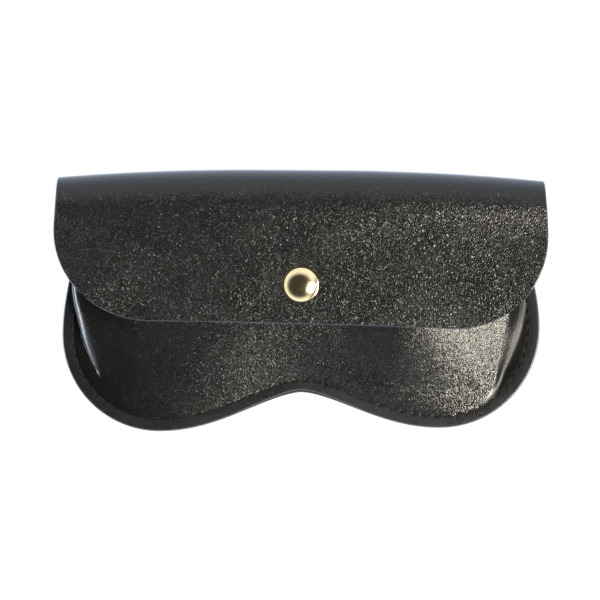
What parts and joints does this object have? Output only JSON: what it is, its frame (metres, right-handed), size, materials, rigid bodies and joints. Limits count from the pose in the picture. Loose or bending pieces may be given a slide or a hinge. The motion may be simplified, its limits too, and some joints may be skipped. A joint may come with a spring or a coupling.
{
  "type": "glasses pouch",
  "caption": "Soft black leather glasses pouch: a fold-over flap with a gold snap, and a twin-lobed front with a nose notch sewn to the back.",
  "frame": {"origin": "on the surface the pouch lies on, under the middle of its box", "axes": "+X across the width, to the right as seen from the front; +Y towards the fold of the flap; +Z out of the front"},
  "size_m": [0.1668, 0.089, 0.0204],
  "materials": {
    "leather_black": "glossy, fine pebbled grain",
    "thread_black": "matt, twisted",
    "brass_gold": "polished",
    "spring_wire": "drawn wire"
  },
  "bodies": {
    "pouch": {"back_panel": "leather_black", "front_panel": "leather_black", "needle_thread": "thread_black", "bobbin_thread": "thread_black", "snap_stud": "brass_gold", "snap_eyelet": "brass_gold"},
    "fold": {"fold_strip": "leather_black"},
    "flap": {"flap": "leather_black", "snap_cap": "brass_gold", "snap_socket": "brass_gold", "snap_spring": "spring_wire"}
  },
  "joints": [
    {"name": "flap_open", "type": "hinge", "parent": "pouch", "child": "fold", "pos_m": [0, 0.04176, 0.00274], "axis": [-1, 0, 0], "range_deg": [0, 90], "deforming": ["snap_spring"]},
    {"name": "flap_unfold", "type": "hinge", "parent": "fold", "child": "flap", "pos_m": [0, 0.04139, 0.01801], "axis": [-1, 0, 0], "range_deg": [0, 90], "deforming": ["snap_spring"]}
  ],
  "couplings": [
    {"joint": "flap_unfold", "follows": "flap_open", "ratio": 1}
  ]
}
